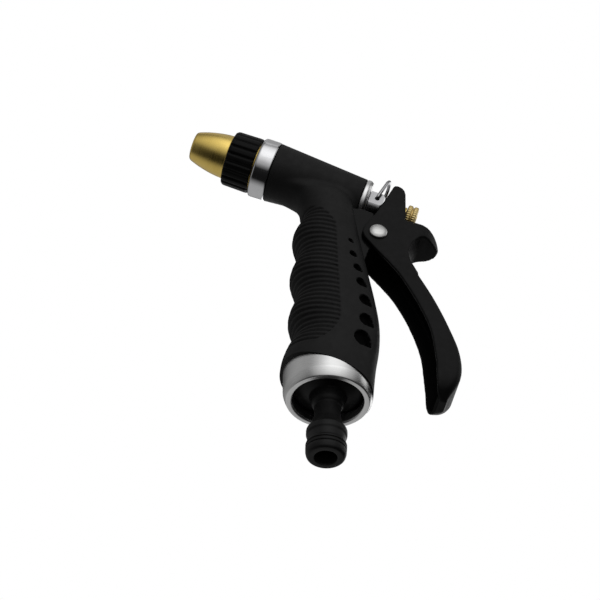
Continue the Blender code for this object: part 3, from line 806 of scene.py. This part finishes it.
def make_base_ring():
    """The satin ring: wide rolled lower lip, slanted upper edge, thin wall."""
    profile = [
        (19.5, 46.0), (19.0, 32.6), (18.5, 30.9), (17.9, 29.5), (17.4, 28.5), (15.5, 28.5),
        (14.9, 29.1), (14.8, 37.2), (15.7, 37.2), (15.7, 46.0),
    ]
    mesh = turned(rounded(profile, 0.6, steps=5), steps=160)
    mesh = combined(mesh, [slanted_slab(below=False, reach=GAP)])
    smooth_shaded(mesh, 35.0)
    add_piece("foot_ring", mesh, SATIN, "nozzle_body", ["base_ring"])


def make_hose_plug():
    """The click-fit tail: rounded nose, seal groove, catch ridge, waist, cup and threaded stub."""
    outer = [
        (9.4, 48.6), (10.0, 48.0), (10.0, 36.6), (14.5, 36.6), (14.5, 33.6), (7.8, 31.2),
        (7.0, 27.6), (6.4, 26.4), (5.6, 25.6), (5.4, 22.0), (5.8, 18.6), (7.0, 15.4),
        (8.2, 13.9), (8.5, 13.2), (8.5, 11.0), (7.95, 10.2), (7.95, 7.0), (8.5, 6.1),
        (8.5, 5.4), (6.2, 5.3), (6.2, 3.5), (8.45, 3.4), (8.4, 2.2), (7.95, 0.7), (7.2, 0.0),
    ]
    bore = [(4.9, 0.0), (4.6, 0.4), (4.6, 20.0), (4.2, 22.0), (4.2, 48.6)]
    mesh = turned(rounded(outer + bore, 0.45))
    add_piece("hose_tail", mesh, PLASTIC, "nozzle_body", ["hose_plug"])


def make_tail_seal():
    """The tail's seal, pressed nearly flush in its groove."""
    profile = [(6.3, 5.26), (8.2, 5.26), (8.48, 4.9), (8.48, 3.9), (8.2, 3.54), (6.3, 3.54)]
    mesh = turned(rounded(profile, 0.3))
    add_piece("tail_seal_ring", mesh, SEAL, "nozzle_body", ["plug_o_ring"])


def make_tip_seal():
    major, minor, height = 8.55, 0.75, 4.7
    angles = spread(0.0, 2 * math.pi, 17)[:-1]
    profile = [(major + minor * math.cos(a), height - minor * math.sin(a)) for a in angles]
    mesh = turned(profile, steps=96, place=BARREL)
    add_piece("tip_seal_ring", mesh, SEAL, "tip_seal", ["tip_o_ring"])


def make_front_ring():
    profile = [(13.3, 0.0), (14.1, -0.8), (14.2, -1.6), (14.2, -7.6), (13.8, -8.1), (12.3, -8.1), (12.3, 0.0)]
    on_barrel("mouth_ring", profile, CHROME, "nozzle_body", ["front_ring"], 0.5)


def make_cap_ring():
    profile = [(10.4, -51.5), (10.8, -51.9), (10.8, -53.4), (9.8, -54.6), (6.2, -54.6), (6.2, -51.5)]
    on_barrel("rear_cap_ring", profile, SATIN, "nozzle_body", ["cap_ring"], 0.35)


def make_spout():
    profile = [
        (6.9, 15.0), (7.4, 14.4), (7.4, 1.0), (11.8, 1.0), (11.8, -0.3), (9.4, -0.3),
        (9.4, -12.8), (5.4, -13.0), (4.8, -13.8), (4.2, -13.8), (4.2, -4.0), (5.6, -2.0),
        (5.6, 15.0),
    ]
    on_barrel("spout", profile, BRASS, "nozzle_body", ["outlet_spout"], 0.2)


def make_spray_tip():
    """The turned brass tip: gently bulged flank, rolled front rim and stepped outlet."""
    outer = [
        (5.2, TIP_END), (6.3, TIP_END - 0.2), (6.9, TIP_END - 0.9), (8.0, 27.5), (8.9, 24.2),
        (9.65, 20.6), (10.15, 17.0), (10.35, 13.9), (10.9, 13.4), (10.9, 2.2), (10.5, 1.8),
    ]
    bore = [
        (7.8, 1.8), (7.8, 3.6), (9.6, 3.6), (9.6, 5.8), (7.8, 5.8), (7.8, 17.4), (2.4, 26.6),
        (2.4, TIP_END - 1.2), (3.6, TIP_END),
    ]
    flank = [outer[2]] + bulged(outer[2:8]) + outer[8:]
    on_barrel("turned_tip", outer[:2] + flank + bore, BRASS, "spray_tip", ["brass_tip"], 0.3)


def make_grip_collar():
    """The black collar: broad rounded flutes with narrow grooves between them."""
    flutes, per_flute = 20, 16
    count = flutes * per_flute

    def fluted(radius, height, depth):
        points = []
        for i in range(count):
            phase = (i / per_flute) % 1.0
            groove = math.exp(-((min(phase, 1.0 - phase) / 0.15) ** 2))
            r = radius - depth * groove
            angle = 2 * math.pi * i / count
            points.append((r * math.cos(angle), r * math.sin(angle), height))
        return points

    rings = [fluted(12.0, 13.6, 0.1), fluted(12.45, 13.45, 0.35), fluted(12.85, 12.9, 0.55), fluted(13.0, 12.2, 0.65)]
    rings += [fluted(13.0 + 0.2 * t, 12.2 - 10.2 * t, 0.68) for t in spread(0.1, 1.0, 8)]
    rings += [fluted(13.15, 1.2, 0.65), fluted(13.0, 0.75, 0.45), fluted(12.7, 0.5, 0.2)]
    rings += [fluted(12.1, 0.5, 0.0), fluted(12.1, 1.35, 0.0), fluted(11.2, 1.5, 0.0), fluted(11.2, 13.6, 0.0)]
    mesh = loft(rings, closed=True, place=BARREL)
    add_piece("fluted_collar", mesh, COLLAR, "spray_tip", ["grip_collar"])


def make_stem():
    """The valve stem: metering pin in front, screw thread for the nut behind."""
    stem = [
        (0.0, 29.0), (0.8, 29.0), (1.7, 23.0), (1.7, 21.0), (1.3, 20.0), (1.3, -12.8),
        (2.0, -13.4), (2.0, -78.0), (1.6, -78.5), (0.0, -78.5),
    ]
    thread_pitch, thread_depth = 0.7, 0.22
    threaded = []
    height = -68.6
    while height > -77.6:
        threaded += [(2.0, height), (2.0 - thread_depth, height - thread_pitch / 2)]
        height -= thread_pitch
    profile = stem[:7] + threaded + stem[7:]
    mesh = turned(profile, closed=False, steps=48, place=BARREL)
    add_piece("stem", mesh, BRASS, "valve_stem", ["valve_stem"])


def make_gland():
    """The packing gland with its two flats and the holes for the bail's ends."""
    profile = [
        (5.9, -46.1), (5.9, -54.9), (6.5, -54.9), (6.5, -60.8), (5.6, -61.6), (2.3, -61.6),
        (2.3, -49.1), (4.0, -49.1), (4.0, -46.1),
    ]
    mesh = turned(rounded(profile, 0.3), place=BARREL)
    tools = []
    for side in (-1, 1):
        outline = [(-12.0, side * 5.3), (12.0, side * 5.3), (12.0, side * 9.0), (-12.0, side * 9.0)]
        flat = plate(outline, 4.6, plane=FLAT_PLANE, offset=(0.0, 0.0, -59.5))
        flat.transform(BARREL)
        tools.append(flat)
        turn = Matrix.Rotation(math.radians(-90.0 * side), 4, "X")
        tools.append(turned(rod(1.15, 3.6, 9.0), False, 32, Matrix.Translation(Vector(bail_hinge()) * MM) @ turn))
    mesh = combined(mesh, tools)
    smooth_shaded(mesh, 30.0)
    add_piece("packing_gland", mesh, GLAND, "nozzle_body", ["gland_nut"])


def make_adjusting_nut():
    """The knurled brass nut: two knurled bands with a plain groove between them."""
    flutes, per_flute = 36, 4
    count = flutes * per_flute
    bore = 2.3

    def knurled(radius, height, depth):
        points = []
        for i in range(count):
            r = radius - 0.45 * depth * (0.5 + 0.5 * math.cos(2 * math.pi * i / per_flute))
            angle = 2 * math.pi * i / count
            points.append((r * math.cos(angle), r * math.sin(angle), height))
        return points

    rings = [knurled(4.9, -73.25, 0.0), knurled(5.45, -73.4, 0.15), knurled(5.8, -73.75, 0.45)]
    rings += [knurled(5.8, -75.1, 0.45), knurled(5.4, -75.5, 0.2), knurled(5.0, -75.65, 0.0)]
    rings += [knurled(5.0, -75.95, 0.0), knurled(5.4, -76.1, 0.2), knurled(5.8, -76.5, 0.45)]
    rings += [knurled(5.8, -77.75, 0.45), knurled(5.45, -78.1, 0.15), knurled(4.9, -78.25, 0.0)]
    rings += [knurled(2.8, -78.25, 0.0), knurled(bore, -77.8, 0.0), knurled(bore, -73.25, 0.0)]
    mesh = loft(rings, closed=True, place=BARREL)
    add_piece("knurled_nut", mesh, PALE_BRASS, "adjusting_nut", ["adjusting_nut"])


def make_rivet():
    """The rivet: a domed head on the near side, a flatter one on the far side."""
    low, high = -9.6, 9.6
    profile = [
        (0.0, high + 1.1), (1.6, high + 1.05), (3.0, high + 0.85), (3.7, high), (2.4, high),
        (2.4, low), (4.2, low), (4.0, low - 0.6), (3.0, low - 1.25), (1.6, low - 1.6),
        (0.0, low - 1.7),
    ]
    mesh = turned(rounded(profile, 0.5, closed=False), False, 80, PIVOT_PLACE)
    add_piece("rivet", mesh, RIVET, "nozzle_body", ["pivot_rivet"])


# ---- wire pieces


def bail_hinge():
    """The middle of the bail's hinge axis, on the barrel's axis."""
    x = BARREL_ORIGIN[0] + BAIL_HEIGHT * math.cos(BARREL_SLOPE)
    z = BARREL_ORIGIN[2] - BAIL_HEIGHT * math.sin(BARREL_SLOPE)
    return (x, 0.0, z)


def make_bail():
    """The wire bail, drawn across Y and up its leaning plane from its hinge."""
    path = [(-4.3, 0.0), (-4.7, 0.0)]
    bend = arc((BAIL_HALF - BAIL_BEND, BAIL_BEND), BAIL_BEND, -90.0, 0.0, 8)
    corner = arc((BAIL_HALF - BAIL_CORNER, BAIL_LENGTH - BAIL_CORNER), BAIL_CORNER, 0.0, 90.0, 12)
    path += [(-y, q) for y, q in bend + corner]
    path += [(-y, q) for y, q in reversed(path)]
    lean = (math.sin(BAIL_LEAN), math.cos(BAIL_LEAN))
    x, _y, z = bail_hinge()
    points = [(x + q * lean[0], y, z + q * lean[1]) for y, q in path]
    add_piece("wire_bail", wire(points, BAIL_WIRE), WIRE, "hold_bail", ["hold_bail"])


def make_spring():
    """The return spring, a coil of wire at rest on the body; in the real nozzle it is squashed against its fixed rear
    end as the stem slides back.
    """
    low, high, coil, thick, turns, per_turn = -44.0, -19.2, 4.5, 0.55, 6.0, 40
    count = int(turns * per_turn) + 1
    points = []
    for i in range(count):
        share = i / (count - 1)
        angle = 2 * math.pi * turns * share
        height = low + thick + (high - low - 2 * thick) * share
        points.append(BARREL @ (Vector((coil * math.cos(angle), coil * math.sin(angle), height)) * MM) / MM)
    mesh = wire(points, thick, resolution=4)
    spring = add_piece("spring", mesh, WIRE, "nozzle_body", ["return_spring"])
    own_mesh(spring)


# ---- trigger


def arm_section(front, rear, half, corner, reach=0.0):
    """A section of the arm: flat in front and rounded behind, lengthened forwards by reach."""
    fx, fz = front
    rx, rz = rear
    depth = math.hypot(rx - fx, rz - fz)
    ux, uz = (rx - fx) / depth, (rz - fz) / depth
    corner = min(corner, half * 0.8, depth * 0.6)
    section = [(-reach, -half)]
    section += [(depth - corner + a, -half + corner + b) for a, b in arc((0.0, 0.0), corner, -90.0, 0.0, 8)]
    section += [(depth - corner + a, half - corner + b) for a, b in arc((0.0, 0.0), corner, 0.0, 90.0, 8)]
    section += [(-reach, half)]
    return [(fx + ux * u, v, fz + uz * u) for u, v in section]


def arm_rows(rows):
    """The arm's sections with more between them, on smooth curves."""
    flat = [(*front, *rear, half) for front, rear, half in rows]
    return [((v[0], v[1]), (v[2], v[3]), v[4]) for v in flat[:1] + curved(flat, 5)]


def head_outline():
    """The trigger's head in side view: ear, nose, notch and the spur behind."""
    ear = arc((PIVOT[0], PIVOT[2]), 7.0, 216.0, 152.0, 12)
    front = [(29.4, 98.6), (24.0, 104.7), (18.0, 111.7)] + ear + [(17.7, 135.1), (20.8, 142.2), (25.3, 152.7)]
    nose = bulged([(25.3, 152.7), (26.0, 153.8), (27.4, 154.3), (29.4, 153.4), (30.8, 151.6), (FLANK_REAR, 149.4)])
    notch = [(FLANK_REAR, 134.4), (WALL_REAR, 133.0)]
    spur = [
        (32.0, 132.3), (38.5, 131.4), (42.5, 130.6), (45.8, 128.8), (47.7, 126.4),
        (48.1, 124.2), (47.0, 122.4), (44.6, 122.8), (41.4, 124.0), (38.4, 123.6),
        (35.4, 120.6), (33.3, 116.6), (32.6, 112.0), (33.4, 107.8),
    ]
    return front + nose + notch + spur[:1] + bulged(spur) + [(37.0, 100.6)]


def head_hollow_outline():
    """The hollow of the trigger's head in side view, open in front."""
    front = [(-2.0, 96.0), (-2.0, 151.6)]
    nose = [(27.6, 152.0), (28.5, 149.4), (28.5, 130.4)]
    spur = [
        (34.0, 129.8), (38.8, 129.2), (42.0, 128.2), (42.6, 126.9), (41.6, 125.8),
        (38.0, 125.5), (33.8, 122.6), (31.3, 117.4), (30.5, 112.4), (31.3, 107.4),
    ]
    return front + nose + spur + [(34.8, 100.4), (28.0, 96.0)]


def spur_corners():
    """What is cut from the spur in top view, to round its end."""
    root, reach, far = 37.5, 48.2, 60.0
    curve = []
    for i in range(25):
        angle = math.radians(-90.0 + 7.5 * i)
        y = TRIGGER_HALF * math.copysign(abs(math.sin(angle)) ** 1.7, angle)
        curve.append((root + (reach - root) * math.cos(angle), y))
    side = TRIGGER_HALF + 6.0
    return curve + [(root, side), (far, side), (far, -side), (root, -side)]


def slot_outline(half):
    """A slot with round ends for the stem, in front view."""
    low, high = (0.0, 144.8), (0.0, 147.6)
    return arc(low, half, 180.0, 360.0, 24) + arc(high, half, 0.0, 180.0, 24)


def make_trigger():
    """The lever: channel-shaped arm and head, cast edges rounded all over."""
    arm = loft([arm_section(front, rear, half, 3.2) for front, rear, half in arm_rows(ARM)])
    head = plate(head_outline(), TRIGGER_HALF)
    solid = combined(arm, [head], "UNION")
    hollow = []
    for front, rear, half in arm_rows(ARM[:-1]):
        depth = math.hypot(rear[0] - front[0], rear[1] - front[1])
        share = 1.0 - TRIGGER_BACK / depth
        inner = (front[0] + (rear[0] - front[0]) * share, front[1] + (rear[1] - front[1]) * share)
        hollow.append(arm_section(front, inner, half - TRIGGER_WALL, 1.6, 4.0))
    tools = [
        loft(hollow),
        plate(head_hollow_outline(), TRIGGER_HALF - TRIGGER_WALL),
        plate(slot_outline(2.6), 3.0, plane=FRONT_PLANE, offset=(29.5, 0.0, 0.0)),
        plate(slot_outline(5.0), 3.0, plane=FRONT_PLANE, offset=(WALL_REAR + 3.0, 0.0, 0.0)),
        plate(spur_corners(), 10.0, plane=FLAT_PLANE, offset=(0.0, 0.0, 126.0)),
    ]
    solid = combined(solid, tools)
    solid = relaxed(remeshed(solid, 0.4), 11)
    solid = combined(solid, [turned(rod(2.75, -20.0, 20.0), False, 48, PIVOT_PLACE)])
    smooth_shaded(solid, 50.0)
    add_piece("lever", solid, LEVER, "trigger", ["trigger"])
    # painted shade: the channel's inner faces get the darker copy of the coating
    paint_faces(solid, LEVER_CHANNEL_PAINTED_SHADE, painted_shade_channel_faces)


def painted_shade_channel_faces(centres, normals):
    """The faces of the channel, which get painted shade: those that look inwards, away from the outer sides and back.
    """
    side = centres[:, 1] * normals[:, 1] < -0.25 * np.abs(centres[:, 1])
    floor = (normals[:, 0] < -0.55) & (np.abs(centres[:, 1]) < TRIGGER_HALF - TRIGGER_WALL)
    return side | floor


def make_casting():
    """The glossy casting: the CAD shape with its edges softened, as only its pivot lug shows."""
    mesh = as_mesh(welded(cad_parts["body_casting"].data))
    mesh = relaxed(remeshed(mesh, 0.7), 3)
    smooth_shaded(mesh, 60.0)
    add_piece("casting", mesh, CASTING, "nozzle_body", ["body_casting"])


# ---- pieces kept from CAD


def finish_cad_nodes():
    """Inner pieces whose CAD shape is right get their material only."""
    brass = ("nut_washer", "valve_head", "packing_washer")
    rubber = ("valve_washer", "stem_packing", "spout_gasket", "plug_seal_washer")
    for material, nodes in ((BRASS, brass), (SEAL, rubber)):
        for node in nodes:
            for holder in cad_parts[node].material_slots:
                holder.material = material


# ---- stage, lights and camera


def make_camera():
    """The camera looks up at the object from below its near side."""
    distance = 700.0
    azimuth, elevation, roll = math.radians(-6.9), math.radians(-42.2), math.radians(3.2)
    target = Vector((-14.0, 0.0, 83.25))
    back = Vector(
        (math.sin(azimuth) * math.cos(elevation), -math.cos(azimuth) * math.cos(elevation), math.sin(elevation))
    )
    right = Vector((math.cos(azimuth), math.sin(azimuth), 0.0))
    up = back.cross(right)
    x_axis = right * math.cos(roll) + up * math.sin(roll)
    y_axis = up * math.cos(roll) - right * math.sin(roll)
    lens = bpy.data.cameras.new("camera")
    lens.sensor_width = 36.0
    lens.lens = 96.36
    lens.clip_start = 0.01
    camera = linked("camera", lens)
    turn = Matrix((x_axis, y_axis, back)).transposed().to_4x4()
    camera.matrix_world = Matrix.Translation((target + back * distance) * MM) @ turn
    bpy.context.scene.camera = camera


def make_floor():
    """A pale floor under the plug's end. It shows from above only, and fades out far from the object."""
    shape = bmesh.new()
    bmesh.ops.create_grid(shape, x_segments=2, y_segments=2, size=3.0)
    mesh = as_mesh(shape)
    floor = linked("floor", mesh)
    floor.location.z = -0.0002
    paint = Paint("pale_floor", (0.86, 0.86, 0.86), 0.7)
    paint.vary_roughness(paint.noise(60.0), 0.04)
    paint.shader.inputs["Emission Color"].default_value = (1.0, 1.0, 1.0, 1.0)
    paint.shader.inputs["Emission Strength"].default_value = FLOOR_GLOW
    clear = paint.node("ShaderNodeBsdfTransparent")
    side = paint.node("ShaderNodeNewGeometry")
    mix = paint.node("ShaderNodeMixShader")
    reach = paint.node("ShaderNodeVectorMath", operation="LENGTH")
    paint.link(paint.place, reach.inputs[0])
    hidden = paint.node("ShaderNodeMath", operation="MAXIMUM")
    paint.link(side.outputs["Backfacing"], hidden.inputs[0])
    paint.link(paint.ramp(reach.outputs["Value"], *FLOOR_FADE, 0.0, 1.0), hidden.inputs[1])
    paint.link(hidden.outputs["Value"], mix.inputs["Fac"])
    paint.link(paint.shader.outputs["BSDF"], mix.inputs[1])
    paint.link(clear.outputs["BSDF"], mix.inputs[2])
    paint.link(mix.outputs["Shader"], paint.tree.nodes["Material Output"].inputs["Surface"])
    mesh.materials.append(paint.material)
    floor.visible_diffuse = False
    floor.visible_glossy = False
    floor.visible_shadow = False


def make_world():
    """White behind everything; for light, one broad soft source in front and dim fills elsewhere."""
    world = bpy.data.worlds.new("studio")
    bpy.context.scene.world = world
    world.use_nodes = True
    tree = world.node_tree
    tree.nodes.clear()
    node, link = tree.nodes.new, tree.links.new
    place = node("ShaderNodeTexCoord")

    def lobe(direction, stops):
        """Brightness by how far a direction leans towards the lobe's middle."""
        lean = node("ShaderNodeVectorMath")
        lean.operation = "DOT_PRODUCT"
        lean.inputs[1].default_value = Vector(direction).normalized()
        link(place.outputs["Generated"], lean.inputs[0])
        share = node("ShaderNodeMath")
        share.operation = "MULTIPLY_ADD"
        share.inputs[1].default_value = 0.5
        share.inputs[2].default_value = 0.5
        link(lean.outputs["Value"], share.inputs[0])
        ramp = node("ShaderNodeValToRGB")
        ramp.color_ramp.interpolation = "CARDINAL"
        while len(ramp.color_ramp.elements) < len(stops):
            ramp.color_ramp.elements.new(0.5)
        for element, (where, value) in zip(ramp.color_ramp.elements, stops):
            element.position = 0.5 + 0.5 * where
            element.color = (value, value, value, 1.0)
        link(share.outputs["Value"], ramp.inputs["Fac"])
        return ramp.outputs["Color"]

    front = lobe(FRONT_LOBE, ((-1.0, 0.012), (0.34, 0.012), (0.47, 0.06), (0.66, 0.32), (0.84, 0.60), (1.0, 1.0)))
    left = lobe(LEFT_LOBE, ((-1.0, 0.0), (0.35, 0.0), (0.75, 0.16), (1.0, 0.30)))
    behind = lobe(BEHIND_LOBE, ((-1.0, 0.0), (0.45, 0.0), (0.75, 0.30), (1.0, 0.40)))
    total = front
    for extra in (left, behind):
        add = node("ShaderNodeMix")
        add.data_type = "RGBA"
        add.blend_type = "LIGHTEN"
        add.inputs["Factor"].default_value = 1.0
        link(total, add.inputs["A"])
        link(extra, add.inputs["B"])
        total = add.outputs["Result"]
    studio = node("ShaderNodeBackground")
    studio.inputs["Strength"].default_value = STUDIO_STRENGTH
    link(total, studio.inputs["Color"])
    white = node("ShaderNodeBackground")
    white.inputs["Color"].default_value = (1.0, 1.0, 1.0, 1.0)
    path = node("ShaderNodeLightPath")
    mix = node("ShaderNodeMixShader")
    link(path.outputs["Is Camera Ray"], mix.inputs["Fac"])
    link(studio.outputs["Background"], mix.inputs[1])
    link(white.outputs["Background"], mix.inputs[2])
    out = node("ShaderNodeOutputWorld")
    link(mix.outputs["Shader"], out.inputs["Surface"])


OBJECT_MIDDLE = Vector((0.0, 0.0, 0.09))


def add_softbox(name, direction, distance, size, power):
    """A square area light that faces the object's middle."""
    light = bpy.data.lights.new(name, "AREA")
    light.shape = "SQUARE"
    light.size = size
    light.energy = power
    obj = linked(name, light)
    towards = Vector(direction).normalized()
    obj.location = OBJECT_MIDDLE + towards * distance
    obj.rotation_euler = towards.to_track_quat("Z", "Y").to_euler()


def make_lights():
    add_softbox("key_softbox", (0.15, -0.9, 0.55), 1.0, 0.9, 0.5)
    add_softbox("top_softbox", (0.15, 0.1, 1.0), 1.2, 1.0, 1.2)
    add_softbox("rear_softbox", (0.45, 0.95, 0.45), 1.2, 1.1, 5.0)
    add_softbox("right_softbox", (1.0, 0.05, 0.45), 1.2, 0.9, 2.4)
    bpy.context.scene.view_settings.view_transform = "Standard"


make_camera()
make_floor()
make_world()
make_lights()

make_cover()
make_base_ring()
make_hose_plug()
make_tail_seal()
make_tip_seal()
make_front_ring()
make_cap_ring()
make_spout()
make_spray_tip()
make_grip_collar()
make_stem()
make_gland()
make_bail()
make_spring()
make_trigger()
make_rivet()
make_adjusting_nut()
make_casting()
finish_cad_nodes()
